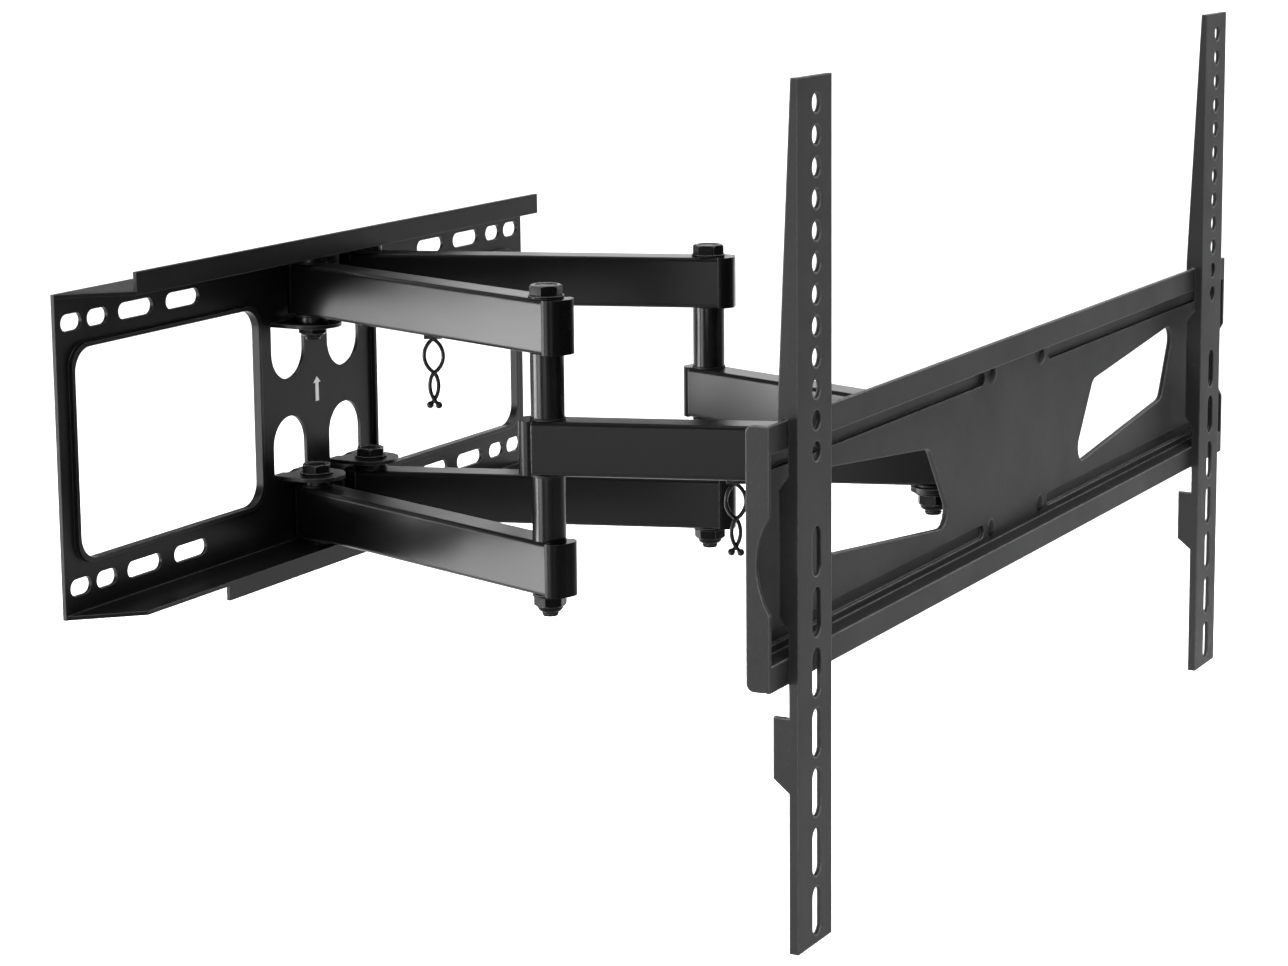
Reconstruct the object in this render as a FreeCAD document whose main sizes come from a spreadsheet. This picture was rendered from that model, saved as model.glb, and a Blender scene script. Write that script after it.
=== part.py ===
import FreeCAD, Part
import Sketcher
import math
import os
import re

# Full motion television wall mount, modelled in millimetres. The origin is the middle of the wall
# face of the wall plate. +Y points into the wall, +X to the right of someone who faces the
# television, and +Z up. The arms are built straight and turned to their rest angle by their
# placement, so that each pivot stays where the driving sizes put it.

SIZES = {
    # wall plate, pressed from one sheet
    "plateWidth": 518, "plateHeight": 190, "plateSheet": 2.5,
    "flangeDepth": 36, "flangeSpan": 452, "topLip": 11, "lowerLip": 9, "lowerLipSpan": 292,
    "windowInner": 66, "windowOuter": 246, "windowHeight": 124, "windowRound": 14,
    "rimProud": 3, "rimWide": 2.5,
    "slotRow": 77.5, "slotTall": 10, "shortSlot": 19, "longSlot": 33,
    "slotOne": 139, "slotTwo": 184.5, "slotThree": 220.5, "slotFour": 244.5,
    "tabWidth": 36.4, "tabLevel": 50, "cutoutStart": 12,
    "arrowTop": 9, "arrowTall": 16, "arrowWide": 8, "arrowStem": 3,
    # arms
    "armLength": 223.6, "restAngle": 18.5, "pivotSpread": 31, "pivotDepth": 22,
    "armTall": 32, "armThick": 22, "armWall": 2, "armRound": 2.5, "armOver": 8,
    "capOut": 9, "capRound": 8.5, "capPlug": 10, "capFit": 0.1,
    # pivots
    "boltRadius": 5, "bushRadius": 7.5, "bushFlange": 10.5, "bushLip": 1.2,
    "runningFit": 0.08, "loopGap": 0.6, "seatGap": 0.2,
    "hexAcross": 17, "hexHead": 6, "hexNut": 9, "boltPast": 1.5,
    "pivotHead": 5, "pivotNut": 4.5, "pivotPast": 1,
    "washerRadius": 10.5, "washerThick": 1.5, "sleeveRadius": 10,
    # head
    "yokeSheet": 3, "yokeEar": 13, "yokeNose": 11, "swivelForward": 11, "swivelRadius": 5,
    "webBack": 11, "webWide": 22,
    "postHalf": 9.6, "tiltForward": 11, "noseRadius": 8, "tiltRadius": 4,
    "cheekSheet": 3, "cheekTall": 52, "cheekFoot": 12, "tiltHeadAcross": 11, "tiltHead": 4,
    # television plate
    "trayHalf": 341, "trayTop": 72, "trayBottom": 58, "traySheet": 2, "trayBack": 14,
    "trayDepth": 12.5, "rimTop": 14, "rimBottom": 13, "notchTop": 28, "notchBottom": 20,
    "notchDeep": 6.8, "endRound": 4,
    "holeInTop": 124, "holeInTopZ": 23, "holeOutTop": 274, "holeOutTopZ": 38,
    "holeOutLow": 250, "holeOutLowZ": 9, "holeInLow": 90, "holeInLowZ": 26, "holeRound": 9,
    "holeRimWide": 3, "holeRimProud": 1.2,
    "rivetSpread": 37.5, "rivetTop": 50, "rivetLow": 37, "rivetRadius": 4, "rivetProud": 1.6,
    "beadStart": 48, "beadEnd": 330, "beadTall": 7.5, "beadDeep": 2.2,
    # hook rails
    "railSpread": 300, "railForward": 32, "railSheet": 2.5, "railRight": 17, "railLeft": 21,
    "railTop": 235, "railBottom": 194, "holeTop": 222, "holePitch": 15.3, "holeRadius": 5,
    "slotTop": 4.4, "slotPitch": 30.3, "slotLong": 25, "hookGap": 0.4, "hookReach": 2.9,
    "hookAbove": 4, "hookDrop": 6, "flangeTip": 3.8, "flangeThin": 4.9, "flangeDeep": 10, "flangeHigh": 38,
    "flangeLow": 25, "flangeRamp": 7, "lockTop": 75, "lockLow": 106, "lockDeep": 13.5,
    # cable clips
    "clipWire": 1.6, "clipRingWide": 12.8, "clipRingTall": 21, "clipLoopWide": 6, "clipLoopTall": 16,
    "clipBall": 2, "clipPad": 9, "clipLeg": 5,
    "clipInner": 120, "clipOuter": 110,
}
ROUND_HOLES = 12
LONG_HOLES = 7
CLIP_SPLAY = 40

doc = FreeCAD.newDocument("WallMount")
sheet = doc.addObject("Spreadsheet::Sheet", "Sizes")
for row, (alias, size) in enumerate(SIZES.items(), start=1):
    sheet.set("A%d" % row, alias)
    sheet.set("B%d" % row, str(size))
    sheet.setAlias("B%d" % row, alias)
doc.recompute()

nodes = []
SIDES = {"left": -1, "right": 1}


def cells(text):
    """Turn the size names in a formula into references to their cells."""
    return re.sub(r"[A-Za-z]+", lambda word: "Sizes." + word.group(0)
                  if word.group(0) in SIZES else word.group(0), str(text))


def bind(item, **formulas):
    for name, text in formulas.items():
        item.setExpression(name, cells(text))
    return item


def place(item, x=0, y=0, z=0, turn=None):
    """Move an object to a place given by formulas, and turn it about its vertical axis."""
    if turn is not None:
        item.Placement = FreeCAD.Placement(FreeCAD.Vector(), FreeCAD.Rotation(FreeCAD.Vector(0, 0, 1), 10))
        item.setExpression("Placement.Rotation.Angle", cells(turn))
    for axis, text in (("x", x), ("y", y), ("z", z)):
        item.setExpression("Placement.Base." + axis, cells(text))
    return item


def box(name, x, y, z):
    """A block between two formulas on each axis."""
    item = doc.addObject("Part::Box", name)
    bind(item, Length="(%s) - (%s)" % (x[1], x[0]), Width="(%s) - (%s)" % (y[1], y[0]),
         Height="(%s) - (%s)" % (z[1], z[0]))
    return place(item, x[0], y[0], z[0])


AXES = {
    "x": FreeCAD.Rotation(FreeCAD.Vector(0, 1, 0), 90),
    "y": FreeCAD.Rotation(FreeCAD.Vector(1, 0, 0), -90),
    "z": FreeCAD.Rotation(),
}


def rod(name, radius, height, x=0, y=0, z=0, axis="z"):
    item = doc.addObject("Part::Cylinder", name)
    item.Placement.Rotation = AXES[axis]
    bind(item, Radius=radius, Height=height)
    return place(item, x, y, z)


def hexagon(name, across, height, x=0, y=0, z=0, axis="z"):
    item = doc.addObject("Part::Prism", name)
    item.Polygon = 6
    item.Placement.Rotation = AXES[axis]
    bind(item, Circumradius="(%s) / 2 / cos(30)" % across, Height=height)
    return place(item, x, y, z)


def fuse(name, items):
    item = doc.addObject("Part::MultiFuse", name)
    item.Shapes = items
    item.Refine = True
    return item


def cut(name, base, tools):
    item = doc.addObject("Part::Cut", name)
    item.Base = base
    item.Tool = tools[0] if len(tools) == 1 else group(name + "Tools", tools)
    item.Refine = True
    return item


def group(name, items):
    """Several loose solids in one object."""
    item = doc.addObject("Part::Compound", name)
    item.Links = items
    return item


def rounded(name, base, radius, axis):
    """Fillet every straight edge of a block that runs along one axis."""
    doc.recompute()
    item = doc.addObject("Part::Fillet", name)
    item.Base = base
    size = float(sheet.get(radius))
    picks = []
    for number, edge in enumerate(base.Shape.Edges, start=1):
        way = edge.tangentAt(edge.FirstParameter)
        if edge.Curve.TypeId == "Part::GeomLine" and abs(getattr(way, axis)) > 0.999:
            picks.append((number, size, size))
    item.Edges = picks
    return item


def slot(name, length, tall, x, z, y, depth, upright=False):
    """A round-ended slot cut along Y, lying along X or standing along Z."""
    shift = "((%s) - (%s)) / 2" % (length, tall)
    if upright:
        middle = box(name + "Middle", ("(%s) - (%s) / 2" % (x, tall), "(%s) + (%s) / 2" % (x, tall)),
                     (y, "(%s) + (%s)" % (y, depth)), ("(%s) - %s" % (z, shift), "(%s) + %s" % (z, shift)))
        ends = [rod(name + "End%d" % k, "(%s) / 2" % tall, depth, x, y, "(%s) + %d * %s" % (z, k, shift), "y")
                for k in (-1, 1)]
    else:
        middle = box(name + "Middle", ("(%s) - %s" % (x, shift), "(%s) + %s" % (x, shift)),
                     (y, "(%s) + (%s)" % (y, depth)), ("(%s) - (%s) / 2" % (z, tall), "(%s) + (%s) / 2" % (z, tall)))
        ends = [rod(name + "End%d" % k, "(%s) / 2" % tall, depth, "(%s) + %d * %s" % (x, k, shift), y, z, "y")
                for k in (-1, 1)]
    return fuse(name, [middle] + ends)


PLANES = {
    "XY": FreeCAD.Rotation(),
    "XZ": FreeCAD.Rotation(FreeCAD.Vector(1, 0, 0), 90),
    "YZ": FreeCAD.Rotation(FreeCAD.Vector(0.577350269, 0.577350269, 0.577350269), 120),
}


def prism(name, plane, outline, depth, start=0, corner=None):
    """A sketch outline, each point held by formulas, extruded along the normal of its plane."""
    sketch = doc.addObject("Sketcher::SketchObject", name + "Sketch")
    sketch.Placement = FreeCAD.Placement(FreeCAD.Vector(), PLANES[plane])
    count = len(outline)
    angles = [2 * math.pi * k / count for k in range(count)]
    spots = [FreeCAD.Vector(math.cos(angle), math.sin(angle), 0) for angle in angles]
    for k in range(count):
        sketch.addGeometry(Part.LineSegment(spots[k], spots[(k + 1) % count]))
    for k in range(count):
        sketch.addConstraint(Sketcher.Constraint("Coincident", k, 2, (k + 1) % count, 1))
    for k, (across, up) in enumerate(outline):
        for kind, text in (("DistanceX", across), ("DistanceY", up)):
            index = sketch.addConstraint(Sketcher.Constraint(kind, -1, 1, k, 1, 1.0))
            sketch.setExpression("Constraints[%d]" % index, cells(text))
    axis, sign = {"XY": ("z", 1), "XZ": ("y", -1), "YZ": ("x", 1)}[plane]
    sketch.setExpression("Placement.Base." + axis, cells(start))
    item = doc.addObject("Part::Extrusion", name)
    item.Base = sketch
    item.DirMode = "Normal"
    item.Solid = True
    bind(item, LengthFwd=depth)
    if corner:
        return rounded(name + "Rounded", item, corner, axis)
    return item


def node(label, items, x=None, y=0, z=0, turn=None):
    """Name a finished sub-part; several solids are kept loose in one compound."""
    item = items[0] if len(items) == 1 else group(label, items)
    if x is not None:
        place(item, x, y, z, turn)
    item.Label = label
    nodes.append(item)
    return item


ELBOW_X = "(pivotSpread + armLength * sin(restAngle))"
ELBOW_Y = "(-pivotDepth - armLength * cos(restAngle))"
HEAD_Y = "(-pivotDepth - 2 * armLength * cos(restAngle))"
ARM_LEVEL = "((plateHeight / 2 - plateSheet + tabLevel) / 2)"
SWIVEL_Y = HEAD_Y + " - swivelForward"
TILT_Y = SWIVEL_Y + " - tiltForward"
TRAY_BACK = TILT_Y + " - trayBack"
RAIL_FACE = TILT_Y + " - railForward"


def wallSlots(side, row):
    spots = (("slotOne", "longSlot"), ("slotTwo", "longSlot"), ("slotThree", "shortSlot"),
             ("slotFour", "shortSlot"))
    return [slot("wallSlot%d%d%s" % (side + 1, row + 1, spot), length, "slotTall", "%d * %s" % (side, spot),
                 "%d * slotRow" % row, "-2 * plateSheet", "3 * plateSheet") for spot, length in spots]


def wallWindow(side):
    """The window through the sheet and the rim turned forward round it."""
    low, high = ("windowInner", "windowOuter") if side > 0 else ("-windowOuter", "-windowInner")
    up = ("-windowHeight / 2", "windowHeight / 2")
    wide = (low + " - rimWide", high + " + rimWide")
    tall = ("-windowHeight / 2 - rimWide", "windowHeight / 2 + rimWide")
    hole = box("windowHole%d" % (side + 1), (low, high), ("-3 * plateSheet - rimProud", "plateSheet"), up)
    rim = box("windowRim%d" % (side + 1), wide, ("-plateSheet - rimProud", "-plateSheet / 2"), tall)
    return (rounded("windowCut%d" % (side + 1), hole, "windowRound", "y"),
            rounded("windowEdge%d" % (side + 1), rim, "windowRound", "y"))


def pivotTab(side, level):
    """A tongue lanced from the sheet and bent forward, and the round-ended hole that it leaves."""
    name = "%d%d" % (side + 1, level + 1)
    x = "(%d * pivotSpread)" % side
    half = "tabWidth / 2"
    sides = (x + " - " + half, x + " + " + half)
    top = ("tabLevel - plateSheet", "tabLevel") if level > 0 else ("-tabLevel", "-tabLevel + plateSheet")
    straight = box("tabStraight" + name, sides, ("-pivotDepth", "-plateSheet / 2"), top)
    end = rod("tabEnd" + name, half, "plateSheet", x, "-pivotDepth", top[0])
    tab = fuse("tab" + name, [straight, end])
    inner = "cutoutStart + " + half
    span = (inner, "tabLevel - plateSheet") if level > 0 else ("-tabLevel + plateSheet", "-(%s)" % inner)
    hole = fuse("tabHole" + name, [
        box("tabHoleStraight" + name, sides, ("-2 * plateSheet", "plateSheet"), span),
        rod("tabHoleEnd" + name, half, "3 * plateSheet", x, "-2 * plateSheet", "%d * (%s)" % (level, inner), "y")])
    return tab, hole


def arrowHole():
    head = [("-arrowWide / 2", "arrowTop - arrowWide / 2"), ("-arrowStem / 2", "arrowTop - arrowWide / 2"),
            ("-arrowStem / 2", "arrowTop - arrowTall"), ("arrowStem / 2", "arrowTop - arrowTall"),
            ("arrowStem / 2", "arrowTop - arrowWide / 2"), ("arrowWide / 2", "arrowTop - arrowWide / 2"),
            ("0", "arrowTop")]
    return prism("arrow", "XZ", head, "3 * plateSheet", "plateSheet")


def wallPlate():
    sheetBox = box("wallSheet", ("-plateWidth / 2", "plateWidth / 2"), ("-plateSheet", "0"),
                   ("-plateHeight / 2", "plateHeight / 2"))
    solids = [sheetBox]
    holes = [arrowHole()]
    ramp = [("-plateWidth / 2", "-plateSheet / 2"), ("-flangeSpan / 2", "-flangeDepth"),
            ("flangeSpan / 2", "-flangeDepth"), ("plateWidth / 2", "-plateSheet / 2")]
    solids.append(prism("topFlange", "XY", ramp, "plateSheet", "plateHeight / 2 - plateSheet"))
    solids.append(prism("lowFlange", "XY", ramp, "plateSheet", "-plateHeight / 2"))
    front = ("-flangeDepth", "-flangeDepth + plateSheet")
    solids.append(box("topLipStrip", ("-flangeSpan / 2", "flangeSpan / 2"), front,
                      ("plateHeight / 2 - plateSheet", "plateHeight / 2 + topLip")))
    solids.append(box("lowLipStrip", ("-lowerLipSpan / 2", "lowerLipSpan / 2"), front,
                      ("-plateHeight / 2 - lowerLip", "-plateHeight / 2 + plateSheet")))
    for side in SIDES.values():
        windowCut, windowEdge = wallWindow(side)
        solids.append(windowEdge)
        holes.append(windowCut)
        holes += wallSlots(side, 1) + wallSlots(side, -1)
        for level in (1, -1):
            tab, hole = pivotTab(side, level)
            solids.append(tab)
            holes.append(hole)
        holes.append(rod("wallBore%d" % (side + 1), "boltRadius + seatGap", "2 * plateHeight",
                         "%d * pivotSpread" % side, "-pivotDepth", "-plateHeight"))
    node("wall_plate", [cut("wallPlate", fuse("wallPressed", solids), holes)])


def bolt(name, x, y, top, length, turned=1, tall="hexHead"):
    """A hexagon bolt whose head sits on the height top; turned is -1 where the head is below."""
    if turned > 0:
        head = hexagon(name + "Head", "hexAcross", tall, x, y, top)
        shank = rod(name + "Shank", "boltRadius", length, x, y, "(%s) - (%s)" % (top, length))
    else:
        head = hexagon(name + "Head", "hexAcross", tall, x, y, "(%s) - %s" % (top, tall))
        shank = rod(name + "Shank", "boltRadius", length, x, y, top)
    return fuse(name, [head, shank])


def ring(name, outer, inner, height, x, y, z):
    """A washer, bush or sleeve standing on the height z."""
    return cut(name, rod(name + "Outer", outer, height, x, y, z),
               [rod(name + "Inner", inner, "(%s) + 2 * plateSheet" % height, x, y, "(%s) - plateSheet" % z)])


def nut(name, x, y, z, height="hexNut"):
    return cut(name, hexagon(name + "Body", "hexAcross", height, x, y, z),
               [rod(name + "Thread", "boltRadius", "(%s) + 2 * plateSheet" % height, x, y, "(%s) - plateSheet" % z)])


def wallPivots():
    """The four pivot bolts of the wall plate: through a flange, an arm and a tab."""
    topFace = "plateHeight / 2"
    grip = "plateHeight / 2 - tabLevel + plateSheet + 3 * washerThick + pivotNut + pivotPast"
    upper, lower, nuts, washers, spacers = [], [], [], [], []
    for side in SIDES.values():
        at = ("%d * pivotSpread" % side, "-pivotDepth")
        tag = str(side + 1)
        upper.append(bolt("upperPivot" + tag, at[0], at[1], topFace + " + washerThick", grip, 1, "pivotHead"))
        washers.append(ring("upperSeat" + tag, "washerRadius", "boltRadius", "washerThick", at[0], at[1], topFace))
        nuts.append(nut("upperNut" + tag, at[0], at[1], "tabLevel - plateSheet - washerThick - pivotNut",
                        "pivotNut"))
        washers.append(ring("upperNutSeat" + tag, "washerRadius", "boltRadius", "washerThick", at[0], at[1],
                            "tabLevel - plateSheet - washerThick"))
        lower.append(bolt("lowerPivot" + tag, at[0], at[1], "-tabLevel + plateSheet + washerThick", grip, 1,
                          "pivotHead"))
        washers.append(ring("lowerSeat" + tag, "washerRadius", "boltRadius", "washerThick", at[0], at[1],
                            "-tabLevel + plateSheet"))
        nuts.append(nut("lowerNut" + tag, at[0], at[1], "-plateHeight / 2 - washerThick - pivotNut",
                        "pivotNut"))
        washers.append(ring("lowerNutSeat" + tag, "washerRadius", "boltRadius", "washerThick", at[0], at[1],
                            "-plateHeight / 2 - washerThick"))
        for level in (1, -1):
            middle = "%d * %s" % (level, ARM_LEVEL)
            clear = "(armTall / 2 + bushLip + seatGap)"
            tall = "((plateHeight / 2 - plateSheet - tabLevel) / 2 - %s)" % clear
            spacers.append(ring("spacerTop%s%d" % (tag, level + 1), "washerRadius", "boltRadius", tall, at[0], at[1],
                                "%s + %s" % (middle, clear)))
            spacers.append(ring("spacerLow%s%d" % (tag, level + 1), "washerRadius", "boltRadius", tall, at[0],
                                at[1], "%s - %s - %s" % (middle, clear, tall)))
    node("upper_pivot_bolts", upper)
    node("lower_pivot_bolts", lower)
    node("wall_pivot_nuts", nuts)
    node("wall_pivot_washers", washers)
    node("wall_pivot_spacers", spacers)


def armTube(name, level, bores):
    """A rectangular tube along -Y from its pivot at the origin; bores are (distance, radius)."""
    across = ("-armThick / 2", "armThick / 2")
    along = ("-armLength - armOver", "armOver")
    up = ("%s - armTall / 2" % level, "%s + armTall / 2" % level)
    outside = rounded(name + "Skin", box(name + "Outside", across, along, up), "armRound", "y")
    inside = box(name + "Inside", (across[0] + " + armWall", across[1] + " - armWall"),
                 (along[0] + " - armOver", along[1] + " + armOver"), (up[0] + " + armWall", up[1] + " - armWall"))
    holes = [rod("%sBore%d" % (name, k), radius, "armTall + 2 * armWall", 0, "-(%s)" % distance,
                 "%s - armTall / 2 - armWall" % level) for k, (distance, radius) in enumerate(bores)]
    return cut(name, outside, [inside] + holes)


def armCap(name, level, end):
    """A moulded cap on one end of a tube: a rounded nose outside and a plug inside."""
    sign = 1 if end == 0 else -1
    face = "armOver" if end == 0 else "(-armLength - armOver)"
    nose = (face, face + " + capOut") if sign > 0 else (face + " - capOut", face)
    up = ("%s - armTall / 2" % level, "%s + armTall / 2" % level)
    block = box(name + "Nose", ("-armThick / 2", "armThick / 2"), nose, up)
    doc.recompute()
    size = float(sheet.get("capRound"))
    curve = doc.addObject("Part::Fillet", name + "Curve")
    curve.Base = block
    outer = block.Shape.BoundBox.YMax if sign > 0 else block.Shape.BoundBox.YMin
    curve.Edges = [(number, size, size) for number, edge in enumerate(block.Shape.Edges, start=1)
                   if abs(edge.tangentAt(edge.FirstParameter).z) > 0.999
                   and abs(edge.Vertexes[0].Point.y - outer) < 1e-6]
    inset = "(armWall + capFit)"
    plug = (face + " - capPlug", face) if sign > 0 else (face, face + " + capPlug")
    stub = box(name + "Plug", ("-armThick / 2 + " + inset, "armThick / 2 - " + inset), plug,
               (up[0] + " + " + inset, up[1] + " - " + inset))
    whole = fuse(name + "Whole", [curve, stub])
    centre = "0" if end == 0 else "-armLength"
    relief = rod(name + "Relief", "bushRadius + capFit", "armTall + 2 * armWall", 0, centre,
                 "%s - armTall / 2 - armWall" % level)
    return cut(name, whole, [relief])


def armBush(name, level, distance, bore):
    """A flanged bush pressed through both walls of a tube."""
    at = (0, "-(%s)" % distance)
    low = "%s - armTall / 2 - bushLip" % level
    barrel = rod(name + "Barrel", "bushRadius - capFit / 2", "armTall + 2 * bushLip", at[0], at[1], low)
    lips = [rod(name + "Lip%d" % k, "bushFlange", "bushLip", at[0], at[1], z)
            for k, z in enumerate((low, "%s + armTall / 2" % level))]
    return cut(name, fuse(name + "Solid", [barrel] + lips),
               [rod(name + "Bore", bore, "armTall + 4 * bushLip", at[0], at[1], low + " - bushLip")])


def stadium(name, wide, tall, y, top):
    """An upright round-ended bar across X, hanging down from the height top."""
    half = "(%s) / 2" % wide
    across = ("-clipWire", "clipWire")
    low = "%s - (%s)" % (top, tall)
    middle = box(name + "Middle", across, ("%s - %s" % (y, half), "%s + %s" % (y, half)),
                 ("%s + %s" % (low, half), "%s - %s" % (top, half)))
    ends = [rod(name + "End%d" % k, half, "2 * clipWire", across[0], y, z, "x")
            for k, z in enumerate(("%s + %s" % (low, half), "%s - %s" % (top, half)))]
    return fuse(name, [middle] + ends)


def link(name, wide, tall, y, top):
    """An oval ring of bent wire."""
    inside = stadium(name + "Inside", wide + " - 2 * clipWire", tall + " - 2 * clipWire", y, top + " - clipWire")
    return cut(name, stadium(name + "Outside", wide, tall, y, top), [inside])


def cableClip(name, distance, level):
    """A sprung wire clip under a tube: a pad, a ring that holds the cable, a loop and two ball ends."""
    under = "(%s - armTall / 2)" % level
    away = "(-(%s))" % distance
    pad = box(name + "Pad", ("-clipPad / 2", "clipPad / 2"), (away + " - clipPad / 2", away + " + clipPad / 2"),
              (under + " - clipWire", under))
    loopTop = under + " - clipRingTall + clipWire / 2"
    forkTop = loopTop + " - clipLoopTall + clipWire / 2"
    shapes = [pad, link(name + "Ring", "clipRingWide", "clipRingTall", away, under),
              link(name + "Loop", "clipLoopWide", "clipLoopTall", away, loopTop)]
    for side in (-1, 1):
        tag = name + str(side + 1)
        leg = doc.addObject("Part::Cylinder", tag + "Leg")
        leg.Placement.Rotation = FreeCAD.Rotation(FreeCAD.Vector(1, 0, 0), 180 + side * CLIP_SPLAY)
        bind(leg, Radius="clipWire / 2", Height="clipLeg")
        shapes.append(place(leg, 0, away, forkTop))
        ball = doc.addObject("Part::Sphere", tag + "Ball")
        bind(ball, Radius="clipBall")
        shapes.append(place(ball, 0, "%s + %d * clipLeg * sin(%d)" % (away, side, CLIP_SPLAY),
                            "%s - clipLeg * cos(%d)" % (forkTop, CLIP_SPLAY)))
    return fuse(name, shapes)


def innerArms(side):
    """Upper and lower arm of one side, with everything that turns with them."""
    word = "left" if side < 0 else "right"
    spot = ("%d * pivotSpread" % side, "-pivotDepth", 0, "%d * restAngle" % side)
    levels = {"upper": ARM_LEVEL, "lower": "(-%s)" % ARM_LEVEL}
    caps, bushes = [], []
    for part, level in levels.items():
        name = word + part.capitalize()
        tube = armTube(name, level, (("0", "bushRadius"), ("armLength", "boltRadius + seatGap")))
        node("inner_%s_%s_arm" % (word, part), [tube], *spot)
        caps += [armCap("%sCap%d" % (name, end), level, end) for end in (0, 1)]
        bushes.append(armBush(name + "Bush", level, "0", "boltRadius + runningFit"))
    node("inner_%s_caps" % word, caps, *spot)
    node("inner_%s_bushes" % word, bushes, *spot)
    if side < 0:
        node("inner_cable_clip", [cableClip("innerClip", "clipInner", ARM_LEVEL)], *spot)
    elbow(word, spot)


def elbow(word, spot):
    """The long bolt through both inner arms and the outer arm, with its sleeves and nut."""
    top = "(%s + armTall / 2)" % ARM_LEVEL
    y = "-armLength"
    reach = "2 * %s + 3 * washerThick + hexNut + boltPast" % top
    node("%s_elbow_bolt" % word, [bolt(word + "Elbow", 0, y, top + " + washerThick", reach)], *spot)
    node("%s_elbow_nut" % word, [nut(word + "ElbowNut", 0, y, "-%s - washerThick - hexNut" % top)], *spot)
    washers = [ring(word + "ElbowSeat", "washerRadius", "boltRadius", "washerThick", 0, y, top),
               ring(word + "ElbowNutSeat", "washerRadius", "boltRadius", "washerThick", 0, y,
                    "-%s - washerThick" % top)]
    clear = "armTall / 2 + bushLip + seatGap"
    inner = "(%s - armTall / 2)" % ARM_LEVEL
    tall = "%s - (%s)" % (inner, clear)
    sleeves = [ring(word + "SleeveTop", "sleeveRadius", "boltRadius", tall, 0, y, clear),
               ring(word + "SleeveLow", "sleeveRadius", "boltRadius", tall, 0, y, "-" + inner)]
    node("%s_elbow_washers" % word, washers, *spot)
    node("%s_elbow_sleeves" % word, sleeves, *spot)


def outerArm(side):
    word = "left" if side < 0 else "right"
    spot = ("%d * %s" % (side, ELBOW_X), ELBOW_Y, 0, "%d * restAngle" % -side)
    loose = "boltRadius + runningFit" if side < 0 else "boltRadius + loopGap"
    name = word + "Outer"
    node("outer_%s_arm" % word, [armTube(name, "0", (("0", "bushRadius"), ("armLength", "bushRadius")))], *spot)
    node("outer_%s_caps" % word, [armCap("%sCap%d" % (name, end), "0", end) for end in (0, 1)], *spot)
    node("outer_%s_bushes" % word, [armBush(name + "Bush0", "0", "0", "boltRadius + runningFit"),
                                    armBush(name + "Bush1", "0", "armLength", loose)], *spot)
    if side < 0:
        node("outer_cable_clip", [cableClip("outerClip", "clipOuter", "0")], *spot)


YOKE_GAP = "(armTall / 2 + bushLip + seatGap)"


def yokePlate(name, low):
    """A flat ear plate: round ears at the arm pivots and a round nose at the swivel."""
    ears = [rod("%sEar%d" % (name, side + 1), "yokeEar", "yokeSheet", "%d * pivotSpread" % side, HEAD_Y, low)
            for side in SIDES.values()]
    nose = rod(name + "Nose", "yokeNose", "yokeSheet", 0, SWIVEL_Y, low)
    outline = [("-pivotSpread", HEAD_Y + " + yokeEar"), ("-pivotSpread", HEAD_Y + " - yokeEar"),
               ("0", SWIVEL_Y + " - yokeNose"), ("pivotSpread", HEAD_Y + " - yokeEar"),
               ("pivotSpread", HEAD_Y + " + yokeEar")]
    return fuse(name, ears + [nose, prism(name + "Middle", "XY", outline, "yokeSheet", low)])


def yoke():
    """The bent bracket that joins both outer arms and carries the swivel."""
    plates = [yokePlate("yokeTop", YOKE_GAP), yokePlate("yokeLow", "-%s - yokeSheet" % YOKE_GAP)]
    back = HEAD_Y + " + webBack"
    web = box("yokeWeb", ("-webWide / 2", "webWide / 2"), (back, back + " + yokeSheet"),
              ("-%s - yokeSheet" % YOKE_GAP, YOKE_GAP + " + yokeSheet"))
    tall = "2 * %s + 4 * yokeSheet" % YOKE_GAP
    low = "-%s - 2 * yokeSheet" % YOKE_GAP
    holes = [rod("yokeBore%d" % (side + 1), "boltRadius", tall, "%d * pivotSpread" % side, HEAD_Y, low)
             for side in SIDES.values()]
    holes.append(rod("yokeSwivelBore", "swivelRadius", tall, 0, SWIVEL_Y, low))
    node("arm_yoke", [cut("yoke", fuse("yokeBent", plates + [web]), holes)])
    bolts, nuts, washers = [], [], []
    face = "(%s + yokeSheet)" % YOKE_GAP
    reach = "2 * %s + 3 * washerThick + hexNut + boltPast" % face
    for side in SIDES.values():
        x = "%d * pivotSpread" % side
        tag = "head%d" % (side + 1)
        bolts.append(bolt(tag + "Bolt", x, HEAD_Y, face + " + washerThick", reach))
        nuts.append(nut(tag + "Nut", x, HEAD_Y, "-%s - washerThick - hexNut" % face))
        washers.append(ring(tag + "Seat", "washerRadius", "boltRadius", "washerThick", x, HEAD_Y, face))
        washers.append(ring(tag + "NutSeat", "washerRadius", "boltRadius", "washerThick", x, HEAD_Y,
                            "-%s - washerThick" % face))
    node("head_pivot_bolts", bolts)
    node("head_pivot_nuts", nuts)
    node("head_pivot_washers", washers)
    pin = rod("swivelShank", "swivelRadius", "2 * " + face, 0, SWIVEL_Y, "-" + face)
    heads = [rod("swivelHead%d" % k, "yokeNose - yokeSheet / 2", "yokeSheet", 0, SWIVEL_Y, z)
             for k, z in enumerate((face, "-%s - yokeSheet" % face))]
    node("swivel_pin", [fuse("swivelPin", [pin] + heads)])


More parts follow.
